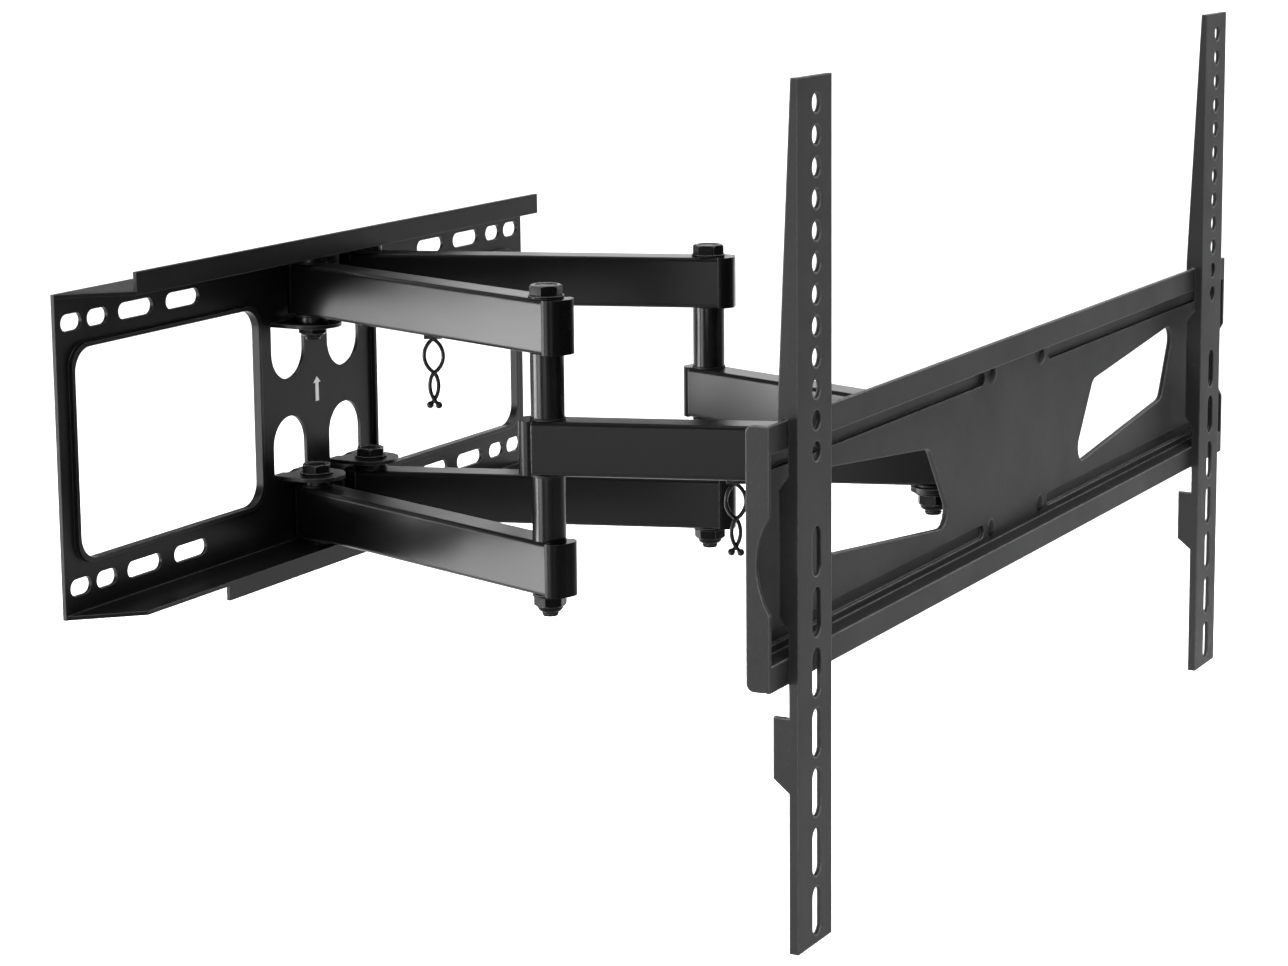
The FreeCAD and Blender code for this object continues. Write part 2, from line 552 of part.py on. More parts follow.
def swivelPost():
    """The block that turns on the swivel pin and ends in the round tilt nose."""
    half = "(armTall / 2)"
    hub = rod("postHub", "postHalf", "2 * " + half, 0, SWIVEL_Y, "-" + half)
    neck = box("postNeck", ("-postHalf", "postHalf"), (TILT_Y + " + seatGap", SWIVEL_Y), ("-noseRadius", "noseRadius"))
    body = box("postBody", ("-postHalf", "postHalf"), (SWIVEL_Y + " - postHalf / 2", SWIVEL_Y), ("-" + half, half))
    nose = rod("postNose", "noseRadius", "2 * postHalf", "-postHalf", TILT_Y, 0, "x")
    bores = [rod("postSwivelBore", "swivelRadius + runningFit", "2 * armTall", 0, SWIVEL_Y, "-armTall"),
             rod("postTiltBore", "tiltRadius", "4 * postHalf", "-2 * postHalf", TILT_Y, 0, "x")]
    node("swivel_post", [cut("post", fuse("postSolid", [hub, neck, body, nose]), bores)])
    reach = "2 * (postHalf + seatGap + cheekSheet)"
    shank = rod("tiltShank", "tiltRadius", reach, "-postHalf - seatGap - cheekSheet", TILT_Y, 0, "x")
    heads = [hexagon("tiltHeadLeft", "tiltHeadAcross", "tiltHead",
                     "-postHalf - seatGap - cheekSheet - tiltHead", TILT_Y, 0, "x"),
             hexagon("tiltHeadRight", "tiltHeadAcross", "tiltHead", "postHalf + seatGap + cheekSheet", TILT_Y, 0, "x")]
    node("tilt_bolt", [fuse("tiltBolt", [shank] + heads)])


def tiltCheeks():
    """Two cheeks behind the television plate that carry it on the tilt bolt."""
    cheeks = []
    for side in SIDES.values():
        tag = "cheek%d" % (side + 1)
        x = "postHalf + seatGap" if side > 0 else "-postHalf - seatGap - cheekSheet"
        outline = [(TRAY_BACK, "-cheekTall / 2"), (TILT_Y, "-noseRadius"), (TILT_Y, "noseRadius"),
                   (TRAY_BACK, "cheekTall / 2")]
        plate = prism(tag + "Plate", "YZ", outline, "cheekSheet", x)
        ear = rod(tag + "Ear", "noseRadius", "cheekSheet", x, TILT_Y, 0, "x")
        outward = (x, "%s + cheekFoot" % x) if side > 0 else ("%s + cheekSheet - cheekFoot" % x, "%s + cheekSheet" % x)
        foot = box(tag + "Foot", outward, (TRAY_BACK, TRAY_BACK + " + cheekSheet / 2"),
                   ("-cheekTall / 2", "cheekTall / 2"))
        bore = rod(tag + "Bore", "tiltRadius + runningFit", "3 * cheekSheet", x + " - cheekSheet", TILT_Y, 0, "x")
        cheeks.append(cut(tag, fuse(tag + "Solid", [plate, ear, foot]), [bore]))
    node("tilt_cheeks", cheeks)


def trayWindow(side):
    """The slanted window of one side and the raised edge pressed round it."""
    tag = "trayWindow%d" % (side + 1)
    outline = [("%d * holeInTop" % side, "holeInTopZ"), ("%d * holeOutTop" % side, "holeOutTopZ"),
               ("%d * holeOutLow" % side, "-holeOutLowZ"), ("%d * holeInLow" % side, "-holeInLowZ")]
    front = "(%s)" % TRAY_BACK
    hole = prism(tag, "XZ", outline, "4 * traySheet", front + " + traySheet", "holeRound")
    wide = [("%d * (holeInTop - holeRimWide)" % side, "holeInTopZ + holeRimWide"),
            ("%d * (holeOutTop + holeRimWide)" % side, "holeOutTopZ + holeRimWide"),
            ("%d * (holeOutLow + holeRimWide)" % side, "-holeOutLowZ - holeRimWide"),
            ("%d * (holeInLow - holeRimWide)" % side, "-holeInLowZ - holeRimWide")]
    rim = prism(tag + "Rim", "XZ", wide, "holeRimProud + traySheet / 2", front + " + holeRimProud", "holeRound")
    return hole, rim


def trayBead(side, level):
    """A groove pressed back from the face, from near a rivet to the end of the plate."""
    tag = "bead%d%d" % (side + 1, level + 1)
    z = "rivetTop" if level > 0 else "-rivetLow"
    long = "(beadEnd - beadStart)"
    middle = "%d * (beadEnd + beadStart) / 2" % side
    groove = slot(tag + "Groove", long, "beadTall", middle, z, "%s - 2 * traySheet" % TRAY_BACK,
                  "traySheet + beadDeep")
    behind = slot(tag + "Back", long + " + 2 * traySheet", "beadTall + 2 * traySheet", middle, z,
                  TRAY_BACK + " - traySheet / 2", "traySheet / 2 + beadDeep")
    return groove, behind


def trayEnd(side):
    """The end turned forward, with a shallow arc cut into its free edge between two tongues."""
    tag = "trayEnd%d" % (side + 1)
    free = "(%s - trayDepth)" % TRAY_BACK
    outline = [(TRAY_BACK, "-trayBottom"), (free, "-trayBottom"), (free, "trayTop"), (TRAY_BACK, "trayTop")]
    x = "(trayHalf - traySheet)" if side > 0 else "(-trayHalf)"
    blank = prism(tag + "Blank", "YZ", outline, "traySheet", x, "endRound")
    half = "((notchTop + notchBottom) / 2)"
    radius = "((%s * %s + notchDeep * notchDeep) / (2 * notchDeep))" % (half, half)
    arc = rod(tag + "Arc", radius, "3 * traySheet", x + " - traySheet", "%s + notchDeep - %s" % (free, radius),
              "(notchTop - notchBottom) / 2", "x")
    return cut(tag, blank, [arc])


def tvPlate():
    back = TRAY_BACK
    front = "(%s - traySheet)" % TRAY_BACK
    free = "(%s - trayDepth)" % TRAY_BACK
    wide = ("-trayHalf", "trayHalf")
    inner = ("-trayBottom + rimBottom", "trayTop - rimTop")
    solids = [box("trayField", wide, (front, back), (inner[0] + " - traySheet", inner[1] + " + traySheet")),
              box("trayStepTop", wide, (free, back), (inner[1], inner[1] + " + traySheet")),
              box("trayStepLow", wide, (free, back), (inner[0] + " - traySheet", inner[0])),
              box("trayRimTop", wide, (free, free + " + traySheet"), (inner[1], "trayTop")),
              box("trayRimLow", wide, (free, free + " + traySheet"), ("-trayBottom", inner[0]))]
    holes = []
    for side in SIDES.values():
        solids.append(trayEnd(side))
        hole, rim = trayWindow(side)
        solids.append(rim)
        holes.append(hole)
        for level in (1, -1):
            groove, behind = trayBead(side, level)
            solids.append(behind)
            holes.append(groove)
    node("tv_plate", [cut("tray", fuse("trayPressed", solids), holes)])
    rivets = []
    for side in SIDES.values():
        for z in ("rivetTop", "-rivetLow"):
            dome = doc.addObject("Part::Sphere", "rivet%d%s" % (side + 1, z.strip("-")))
            radius = "(rivetRadius * rivetRadius + rivetProud * rivetProud) / (2 * rivetProud)"
            bind(dome, Radius=radius)
            place(dome, "%d * rivetSpread" % side, "%s + %s - rivetProud" % (front, radius), z)
            keep = box(dome.Name + "Keep", ("%d * rivetSpread - 2 * rivetRadius" % side,
                                            "%d * rivetSpread + 2 * rivetRadius" % side),
                       (front + " - 2 * rivetProud", front), (z + " - 2 * rivetRadius", z + " + 2 * rivetRadius"))
            cap = doc.addObject("Part::Common", dome.Name + "Cap")
            cap.Base = dome
            cap.Tool = keep
            rivets.append(cap)
    node("tv_plate_rivets", rivets)


def hookRail(side):
    """An L section upright: holes in its face, and a side flange with a hook and a lock tab."""
    word = "left" if side < 0 else "right"
    face = box(word + "Face", ("-railLeft", "railRight"), ("0", "railSheet"), ("-railBottom", "railTop"))
    plateFront = "(railForward - trayBack - trayDepth)"
    rest = "(%s - hookGap)" % plateFront
    hook = "(%s + traySheet + hookGap)" % plateFront
    outline = [("0", "-railBottom"), ("flangeThin", "-railBottom"), ("flangeThin", "-lockLow - lockDeep / 2"),
               ("lockDeep", "-lockLow"), ("lockDeep", "-lockTop"), ("flangeThin", "-lockTop"),
               ("flangeThin", "-trayBottom - hookAbove"), (rest, "-trayBottom"),
               (rest, "-flangeLow - flangeRamp"), ("flangeDeep", "-flangeLow"), ("flangeDeep", "flangeHigh"),
               (rest, "flangeHigh + flangeRamp"), (rest, "trayTop + hookGap"),
               (hook, "trayTop + hookGap"), (hook, "trayTop - hookDrop"), (hook + " + hookReach", "trayTop - hookDrop"),
               (hook + " + hookReach", "trayTop + hookAbove"), ("flangeTip", "railTop"), ("0", "railTop")]
    flange = prism(word + "Flange", "YZ", outline, "railSheet", "-railLeft")
    holes = [rod("%sHole%d" % (word, k), "holeRadius", "3 * railSheet", 0, "-railSheet",
                 "holeTop - %d * holePitch" % k, "y") for k in range(ROUND_HOLES)]
    holes += [slot("%sSlot%d" % (word, k), "slotLong", "2 * holeRadius", "0", "slotTop - %d * slotPitch" % k,
                   "-railSheet", "3 * railSheet", True) for k in range(LONG_HOLES)]
    rail = cut(word + "Rail", fuse(word + "RailBent", [face, flange]), holes)
    node("%s_rail" % word, [rail], "%d * railSpread" % side, RAIL_FACE, 0)


def build():
    wallPlate()
    wallPivots()
    for side in SIDES.values():
        innerArms(side)
        outerArm(side)
    yoke()
    swivelPost()
    tiltCheeks()
    tvPlate()
    for side in SIDES.values():
        hookRail(side)
    doc.recompute()


def export():
    for item in doc.Objects:
        if any(word in str(item.State) for word in ("Invalid", "Error")):
            raise RuntimeError("%s did not build" % item.Label)
    os.makedirs("parts", exist_ok=True)
    for item in nodes:
        if item.Shape.isNull() or not item.Shape.isValid() or not item.Shape.Solids:
            raise RuntimeError("%s has no valid solid" % item.Label)
        item.Shape.exportStep("parts/%s.step" % item.Label)
        print(item.Label, len(item.Shape.Solids), round(item.Shape.Volume))


build()
export()
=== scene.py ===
import bpy
import bmesh
import math
from mathutils import Matrix, Vector


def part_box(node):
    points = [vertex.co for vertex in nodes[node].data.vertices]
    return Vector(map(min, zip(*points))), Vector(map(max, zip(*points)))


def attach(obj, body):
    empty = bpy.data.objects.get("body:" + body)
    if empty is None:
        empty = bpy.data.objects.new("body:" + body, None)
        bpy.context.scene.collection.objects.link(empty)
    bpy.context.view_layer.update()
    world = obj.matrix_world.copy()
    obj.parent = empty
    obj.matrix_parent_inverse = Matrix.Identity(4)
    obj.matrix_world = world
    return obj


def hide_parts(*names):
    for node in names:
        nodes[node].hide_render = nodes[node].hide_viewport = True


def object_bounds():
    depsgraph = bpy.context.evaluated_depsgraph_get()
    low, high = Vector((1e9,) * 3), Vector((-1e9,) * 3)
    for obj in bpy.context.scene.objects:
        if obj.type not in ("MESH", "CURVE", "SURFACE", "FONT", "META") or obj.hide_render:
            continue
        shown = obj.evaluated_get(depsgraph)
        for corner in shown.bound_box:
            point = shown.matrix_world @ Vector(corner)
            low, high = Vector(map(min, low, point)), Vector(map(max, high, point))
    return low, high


# a full motion wall mount for a television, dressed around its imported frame
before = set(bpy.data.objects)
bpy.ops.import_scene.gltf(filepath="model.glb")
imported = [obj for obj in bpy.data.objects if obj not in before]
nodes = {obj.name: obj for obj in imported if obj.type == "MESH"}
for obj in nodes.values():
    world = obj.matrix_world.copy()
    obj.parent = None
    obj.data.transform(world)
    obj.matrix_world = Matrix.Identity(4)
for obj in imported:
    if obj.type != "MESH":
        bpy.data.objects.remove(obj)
cadBox = [list(corner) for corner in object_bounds()]
mm = 0.001

camera = {
    "place": (-1.6359, -1.1324, 0.3391),
    "azimuth": -61.455,
    "elevation": 9.129,
    "roll": -0.541,
    "lens": 87.015,       # on a sensor 36 mm wide
    "sensor": 36.0,
    "shift": -0.10016,    # the middle of the frame stands under the lens axis
    "far": 60.0,
}


def makeCamera():
    az, el, roll = (math.radians(camera[key]) for key in ("azimuth", "elevation", "roll"))
    back = Vector((math.sin(az) * math.cos(el), -math.cos(az) * math.cos(el), math.sin(el)))
    right = Vector((math.cos(az), math.sin(az), 0.0))
    up = back.cross(right)
    turnedRight = right * math.cos(roll) + up * math.sin(roll)
    turnedUp = up * math.cos(roll) - right * math.sin(roll)
    data = bpy.data.cameras.new("viewCamera")
    data.sensor_width = camera["sensor"]
    data.lens = camera["lens"]
    data.shift_y = camera["shift"]
    data.clip_end = camera["far"]
    eye = bpy.data.objects.new("viewCamera", data)
    turn = Matrix((turnedRight, turnedUp, back)).transposed().to_4x4()
    eye.matrix_world = Matrix.Translation(camera["place"]) @ turn
    bpy.context.scene.collection.objects.link(eye)
    bpy.context.scene.camera = eye


studio = {
    "floorDrop": 0.50,    # floor under the lowest point of the rails
    "floorFlat": 5.6,
    "bendRadius": 1.0,
    "wallTop": 0.7,       # a low rim, so that nothing bright is mirrored in the tops of the arms
    "bendSteps": 12,
    "roundSteps": 72,
    "floorColour": (0.93, 0.93, 0.93),
    "floorRough": 0.9,
    "worldColour": (1.0, 1.0, 1.0),
    "worldStrength": 0.10,
}
lamps = [  # name, place, aim, width, height, watts
    ("keyPanel", (-2.4, -2.3, 2.0), (0.0, -0.25, 0.0), 1.4, 1.0, 24),
    ("topPanel", (0.2, -0.95, 2.5), (0.0, -0.3, 0.0), 2.0, 1.8, 66),
    ("sidePanel", (-2.45, 1.0, -0.25), (0.0, -0.2, 0.0), 0.9, 0.8, 24),
    ("elbowPanel", (-1.45, 2.0, -0.33), (-0.07, -0.2, -0.1), 1.0, 0.76, 64),
    ("leftPanel", (-2.6, -0.8, -0.15), (0.0, -0.3, 0.0), 1.0, 0.7, 6),
    ("lipPanel", (2.7, -0.6, 1.35), (0.0, -0.3, 0.0), 1.2, 0.9, 11),
    ("ledgePanel", (2.7, 0.7, 0.78), (0.0, -0.3, 0.0), 1.6, 0.5, 6),
    ("backPanel", (0.6, 2.8, 1.4), (0.0, -0.2, 0.0), 1.6, 1.2, 18),
    ("wallWashEast", (1.6, 0.6, 2.9), (6.2, 3.0, -0.4), 2.0, 2.0, 360),
    ("wallWashNorth", (0.0, 1.6, 2.9), (2.0, 6.2, -0.2), 2.0, 2.0, 150),
]


def sweepFloor():
    # a round pale floor that bends up into a low rim
    low = cadBox[0][2] - studio["floorDrop"]
    bm = bmesh.new()
    flat, bend = studio["floorFlat"], studio["bendRadius"]
    rim = [bm.verts.new((0.0, 0.0, low)), bm.verts.new((flat, 0.0, low))]
    for step in range(1, studio["bendSteps"] + 1):
        turn = math.pi / 2 * step / studio["bendSteps"]
        rim.append(bm.verts.new((flat + bend * math.sin(turn), 0.0, low + bend * (1 - math.cos(turn)))))
    rim.append(bm.verts.new((flat + bend, 0.0, studio["wallTop"])))
    for one, two in zip(rim, rim[1:]):
        bm.edges.new((one, two))
    bmesh.ops.spin(bm, geom=bm.verts[:] + bm.edges[:], cent=(0, 0, 0), axis=(0, 0, 1),
                   angle=math.tau, steps=studio["roundSteps"], use_merge=True)
    bmesh.ops.remove_doubles(bm, verts=bm.verts[:], dist=1e-4)
    bmesh.ops.recalc_face_normals(bm, faces=bm.faces[:])
    mesh = bpy.data.meshes.new("studioFloor")
    bm.to_mesh(mesh)
    bm.free()
    mesh.shade_smooth()
    floor = bpy.data.objects.new("studioFloor", mesh)
    bpy.context.scene.collection.objects.link(floor)
    paper = bpy.data.materials.new("studioPaper")
    paper.use_nodes = True
    shader = paper.node_tree.nodes["Principled BSDF"]
    shader.inputs["Base Color"].default_value = (*studio["floorColour"], 1)
    shader.inputs["Roughness"].default_value = studio["floorRough"]
    mesh.materials.append(paper)


def hangLamps():
    world = bpy.data.worlds.new("studioWorld")
    world.use_nodes = True
    sky = world.node_tree.nodes["Background"]
    sky.inputs["Color"].default_value = (*studio["worldColour"], 1)
    sky.inputs["Strength"].default_value = studio["worldStrength"]
    bpy.context.scene.world = world
    for name, place, aim, wide, tall, watts in lamps:
        light = bpy.data.lights.new(name, "AREA")
        light.shape = "RECTANGLE"
        light.size, light.size_y = wide, tall
        light.energy = watts
        lamp = bpy.data.objects.new(name, light)
        lamp.location = place
        lamp.rotation_euler = (Vector(aim) - Vector(place)).to_track_quat("-Z", "Y").to_euler()
        bpy.context.scene.collection.objects.link(lamp)
    bpy.context.scene.view_settings.view_transform = "Standard"


makeCamera()
sweepFloor()
hangLamps()
print("camera and studio ready")


def link(tree, source, target):
    tree.links.new(source, target)


def addNode(tree, kind, **settings):
    made = tree.nodes.new(kind)
    for key, value in settings.items():
        setattr(made, key, value)
    return made


def noise(tree, where, scale, detail=3.0, rough=0.55):
    made = addNode(tree, "ShaderNodeTexNoise")
    made.inputs["Scale"].default_value = scale
    made.inputs["Detail"].default_value = detail
    made.inputs["Roughness"].default_value = rough
    link(tree, where, made.inputs["Vector"])
    return made.outputs["Fac"]


def ranged(tree, source, fromLow, fromHigh, toLow, toHigh):
    made = addNode(tree, "ShaderNodeMapRange")
    limits = {"From Min": fromLow, "From Max": fromHigh, "To Min": toLow, "To Max": toHigh}
    for key, value in limits.items():
        made.inputs[key].default_value = value
    link(tree, source, made.inputs["Value"])
    return made.outputs["Result"]


def blended(tree, amount, one, two):
    made = addNode(tree, "ShaderNodeMix", data_type="RGBA")
    for socket, value in ((made.inputs[6], one), (made.inputs[7], two)):
        if isinstance(value, tuple):
            socket.default_value = (*value, 1)
        else:
            link(tree, value, socket)
    link(tree, amount, made.inputs[0])
    return made.outputs[2]


def product(tree, one, two, operation="MULTIPLY"):
    made = addNode(tree, "ShaderNodeMath", operation=operation)
    for socket, value in zip(made.inputs, (one, two)):
        if isinstance(value, (int, float)):
            socket.default_value = value
        else:
            link(tree, value, socket)
    return made.outputs[0]


coating = {
    "bevelSamples": 4,
    "shadingReach": 1.6,         # how much wider than its edge the band of painted edge light is
    "flatLimit": 0.995,       # cosines between the face and its rounded normal
    "edgeLimit": 0.86,
    "upwardFull": 0.45,       # how far up an edge looks when it gets all of its painted edge light
    "sidewaysShare": 0.30,
    "breakupScale": 240.0,
    "breakupShare": 0.55,
    "speckFrom": 0.60,
    "speckTo": 0.74,
    "noiseLow": 0.3,          # the middle of a noise, where it changes most
    "noiseHigh": 0.7,
    "breakupLow": 0.35,
    "breakupHigh": 0.65,
}


def edgeShadingMask(tree, radius):
    # where light is painted onto the edges: one on a rounded edge that looks upward, as if lit from above,
    # less on the others, nothing on the flats
    roundedEdge = addNode(tree, "ShaderNodeBevel", samples=coating["bevelSamples"])
    roundedEdge.inputs["Radius"].default_value = radius
    shape = addNode(tree, "ShaderNodeNewGeometry")
    dot = addNode(tree, "ShaderNodeVectorMath", operation="DOT_PRODUCT")
    link(tree, roundedEdge.outputs["Normal"], dot.inputs[0])
    link(tree, shape.outputs["True Normal"], dot.inputs[1])
    parts = addNode(tree, "ShaderNodeSeparateXYZ")
    link(tree, roundedEdge.outputs["Normal"], parts.inputs["Vector"])
    upward = ranged(tree, parts.outputs["Z"], 0.0, coating["upwardFull"], coating["sidewaysShare"], 1.0)
    onEdge = ranged(tree, dot.outputs["Value"], coating["flatLimit"], coating["edgeLimit"], 0.0, 1.0)
    return product(tree, onEdge, upward)


def coat(name, look):
    # clouds and specks of colour, painted light on the edges (lighter where they look upward, as if lit
    # from above), uneven gloss and a fine bump
    made = bpy.data.materials.new(name)
    made.use_nodes = True
    tree = made.node_tree
    shader = tree.nodes["Principled BSDF"]
    where = addNode(tree, "ShaderNodeTexCoord").outputs["Object"]
    middle = coating["noiseLow"], coating["noiseHigh"]
    cloud = noise(tree, where, look["cloudScale"], detail=4.0)
    base = tuple(look["colour"])
    dark = tuple(c * (1 - look["cloud"]) for c in base)
    pale = tuple(c * (1 + look["cloud"]) for c in base)
    colour = blended(tree, ranged(tree, cloud, *middle, 0.0, 1.0), dark, pale)
    specks = noise(tree, where, look["speckScale"], detail=2.0)
    speck = ranged(tree, specks, coating["speckFrom"], coating["speckTo"], 0.0, look["speck"])
    colour = blended(tree, speck, colour, tuple(look["speckColour"]))
    # painted light on the edges: a painted highlight on the dark coats, strongest on edges that look
    # upward, broken up by noise
    shadingMask = edgeShadingMask(tree, look["edge"] * coating["shadingReach"])
    breakupNoise = noise(tree, where, coating["breakupScale"])
    breakup = ranged(tree, breakupNoise, coating["breakupLow"], coating["breakupHigh"], coating["breakupShare"], 1.0)
    shadingMask = product(tree, product(tree, shadingMask, breakup), look["edgeShading"])
    colour = blended(tree, shadingMask, colour, tuple(look["edgeShadingColour"]))
    link(tree, colour, shader.inputs["Base Color"])
    smear = noise(tree, where, look["smearScale"])
    rough = ranged(tree, smear, *middle, look["rough"] - look["smear"], look["rough"] + look["smear"])
    link(tree, rough, shader.inputs["Roughness"])
    shader.inputs["Metallic"].default_value = look.get("metallic", 0.0)
    shader.inputs["Specular IOR Level"].default_value = look["specular"]
    soft = addNode(tree, "ShaderNodeBevel", samples=coating["bevelSamples"])
    soft.inputs["Radius"].default_value = look["edge"]
    bump = addNode(tree, "ShaderNodeBump")
    bump.inputs["Strength"].default_value = look["peel"]
    bump.inputs["Distance"].default_value = look["peelDepth"]
    grain = noise(tree, where, look["peelScale"], detail=2.0)
    link(tree, grain, bump.inputs["Height"])
    link(tree, soft.outputs["Normal"], bump.inputs["Normal"])
    link(tree, bump.outputs["Normal"], shader.inputs["Normal"])
    return made


# in each look the edge colour and its amount are painted light on the edges: a painted highlight on the
# dark coats, while the pale paint gets darker edges
plateBlack = {
    "colour": (0.005, 0.005, 0.0052), "cloud": 0.22, "cloudScale": 14.0,
    "speck": 0.10, "speckScale": 620.0, "speckColour": (0.05, 0.05, 0.05),
    "edgeShading": 0.55, "edgeShadingColour": (0.22, 0.22, 0.22), "edge": 0.0006,
    "rough": 0.33, "smear": 0.04, "smearScale": 22.0,
    "peel": 0.25, "peelDepth": 0.0002, "peelScale": 850.0, "specular": 0.18,
}
armBlack = {
    "colour": (0.004, 0.004, 0.0042), "cloud": 0.12, "cloudScale": 18.0,
    "speck": 0.06, "speckScale": 800.0, "speckColour": (0.04, 0.04, 0.04),
    "edgeShading": 0.90, "edgeShadingColour": (0.42, 0.42, 0.42), "edge": 0.0008,
    "rough": 0.28, "smear": 0.006, "smearScale": 16.0,
    "peel": 0.12, "peelDepth": 0.0002, "peelScale": 700.0, "specular": 0.22,
}
charcoalCoat = {
    "colour": (0.028, 0.028, 0.0285), "cloud": 0.14, "cloudScale": 11.0,
    "speck": 0.25, "speckScale": 700.0, "speckColour": (0.060, 0.060, 0.060),
    "edgeShading": 0.80, "edgeShadingColour": (0.40, 0.40, 0.40), "edge": 0.0009,
    "rough": 0.44, "smear": 0.04, "smearScale": 20.0,
    "peel": 0.45, "peelDepth": 0.0002, "peelScale": 1100.0, "specular": 0.11,
}
capPlastic = {
    "colour": (0.003, 0.003, 0.0032), "cloud": 0.12, "cloudScale": 30.0,
    "speck": 0.05, "speckScale": 500.0, "speckColour": (0.03, 0.03, 0.03),
    "edgeShading": 0.30, "edgeShadingColour": (0.12, 0.12, 0.12), "edge": 0.0005,
    "rough": 0.24, "smear": 0.03, "smearScale": 35.0,
    "peel": 0.12, "peelDepth": 0.0001, "peelScale": 1500.0, "specular": 0.09,
}
boltBlack = {
    "colour": (0.004, 0.004, 0.0044), "cloud": 0.30, "cloudScale": 90.0,
    "speck": 0.20, "speckScale": 900.0, "speckColour": (0.07, 0.07, 0.072),
    "edgeShading": 0.90, "edgeShadingColour": (0.40, 0.40, 0.405), "edge": 0.0004,
    "rough": 0.26, "smear": 0.06, "smearScale": 120.0,
    "peel": 0.15, "peelDepth": 0.0001, "peelScale": 1800.0, "metallic": 0.05, "specular": 0.06,
}
sleeveBlack = {
    "colour": (0.004, 0.004, 0.0042), "cloud": 0.18, "cloudScale": 40.0,
    "speck": 0.08, "speckScale": 700.0, "speckColour": (0.04, 0.04, 0.04),
    "edgeShading": 0.40, "edgeShadingColour": (0.20, 0.20, 0.20), "edge": 0.0004,
    "rough": 0.22, "smear": 0.03, "smearScale": 50.0,
    "peel": 0.10, "peelDepth": 0.0001, "peelScale": 900.0, "specular": 0.22,
}
bushNylon = {
    "colour": (0.010, 0.010, 0.010), "cloud": 0.20, "cloudScale": 60.0,
    "speck": 0.05, "speckScale": 700.0, "speckColour": (0.05, 0.05, 0.05),
    "edgeShading": 0.10, "edgeShadingColour": (0.06, 0.06, 0.06), "edge": 0.0003,
    "rough": 0.45, "smear": 0.06, "smearScale": 80.0,
    "peel": 0.25, "peelDepth": 0.0001, "peelScale": 1300.0, "specular": 0.20,
}
wirePlastic = {
    "colour": (0.004, 0.004, 0.004), "cloud": 0.10, "cloudScale": 120.0,
    "speck": 0.04, "speckScale": 900.0, "speckColour": (0.03, 0.03, 0.03),
    "edgeShading": 0.05, "edgeShadingColour": (0.04, 0.04, 0.04), "edge": 0.0002,
    "rough": 0.28, "smear": 0.05, "smearScale": 150.0,
    "peel": 0.08, "peelDepth": 0.0001, "peelScale": 1600.0, "specular": 0.25,
}
palePaint = {
    "colour": (0.80, 0.80, 0.79), "cloud": 0.05, "cloudScale": 160.0,
    "speck": 0.15, "speckScale": 900.0, "speckColour": (0.55, 0.55, 0.54),
    "edgeShading": 0.30, "edgeShadingColour": (0.45, 0.45, 0.45), "edge": 0.0002,
    "rough": 0.45, "smear": 0.05, "smearScale": 150.0,
    "peel": 0.15, "peelDepth": 0.0001, "peelScale": 1500.0, "specular": 0.5,
}
looks = {
    "palePaint": palePaint,
    "plateBlack": plateBlack,
    "armBlack": armBlack,
    "charcoalCoat": charcoalCoat,
    "capPlastic": capPlastic,
    "boltBlack": boltBlack,
    "sleeveBlack": sleeveBlack,
    "bushNylon": bushNylon,
    "wirePlastic": wirePlastic,
}
finishes = {name: coat(name, look) for name, look in looks.items()}


def finishFor(name):
    if name.endswith("_caps"):
        return "capPlastic"
    if name.endswith("_bushes"):
        return "bushNylon"
    if name.endswith("_sleeves") or name.endswith("_spacers"):
        return "sleeveBlack"
    if name.endswith("_clip"):
        return "wirePlastic"
    if name.endswith("_arm"):
        return "armBlack"
    if name.startswith("tv_plate") or name.endswith("_rail"):
        return "charcoalCoat"
    if name in ("wall_plate", "arm_yoke", "swivel_post", "tilt_cheeks"):
        return "plateBlack"
    return "boltBlack"


def dressNodes():
    for name, piece in nodes.items():
        finish = finishes[finishFor(name)]
        piece.data.materials.clear()
        piece.data.materials.append(finish)


dressNodes()
print("finishes on", len(nodes), "nodes")


def finishPiece(bm, name, finish, body, replaced=(), crease=32.0):
    bmesh.ops.remove_doubles(bm, verts=bm.verts[:], dist=1e-6)
    bmesh.ops.recalc_face_normals(bm, faces=bm.faces[:])
    for face in bm.faces:
        face.smooth = True
    for edge in bm.edges:
        edge.smooth = len(edge.link_faces) == 2 and edge.calc_face_angle(0.0) < math.radians(crease)
    mesh = bpy.data.meshes.new(name)
    bm.to_mesh(mesh)
    bm.free()
    mesh.materials.append(finishes[finish])
    piece = bpy.data.objects.new(name, mesh)
    bpy.context.scene.collection.objects.link(piece)
    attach(piece, body)
    if replaced:
        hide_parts(*replaced)


fasteners = {
    "across": 17 * mm,       # hexagon over its flats
    "shank": 5 * mm,
    "hexSides": 6,
    "chamferStart": 8.45 * mm,
    "chamferSlope": 30.0,
    "dishWide": 1.7 * mm,
    "dishDeep": 0.5 * mm,
    "pitch": 1.5 * mm,
    "threadDeep": 0.55 * mm,
    "threadLong": 16.5 * mm,
    "lastTurn": 0.6,         # share of a pitch that stays plain at the tip
    "levelFace": 0.9,        # how upright the normal of a level face is
    "collar": 7.6 * mm,      # round collar of a lock nut
    "collarShare": 0.34,
    "collarRise": 0.35,      # shares of the collar's height
    "shoulderRise": 0.75,
    "mouthRise": 0.20,
    "boreGap": 0.05 * mm,
    "mouth": 0.4 * mm,       # how much the bore opens at the end of a nut
    "shoulder": 0.5 * mm,
    "crown": 1.3 * mm,
    "pivotHead": 5 * mm,
    "pivotNut": 4.5 * mm,
    "elbowNut": 9 * mm,
    "elbowTurn": 18.5,       # degrees, as the arms stand at rest
    "steps": 36,
}


def hexCorner():
    return fasteners["across"] / 2 / math.cos(math.pi / fasteners["hexSides"])


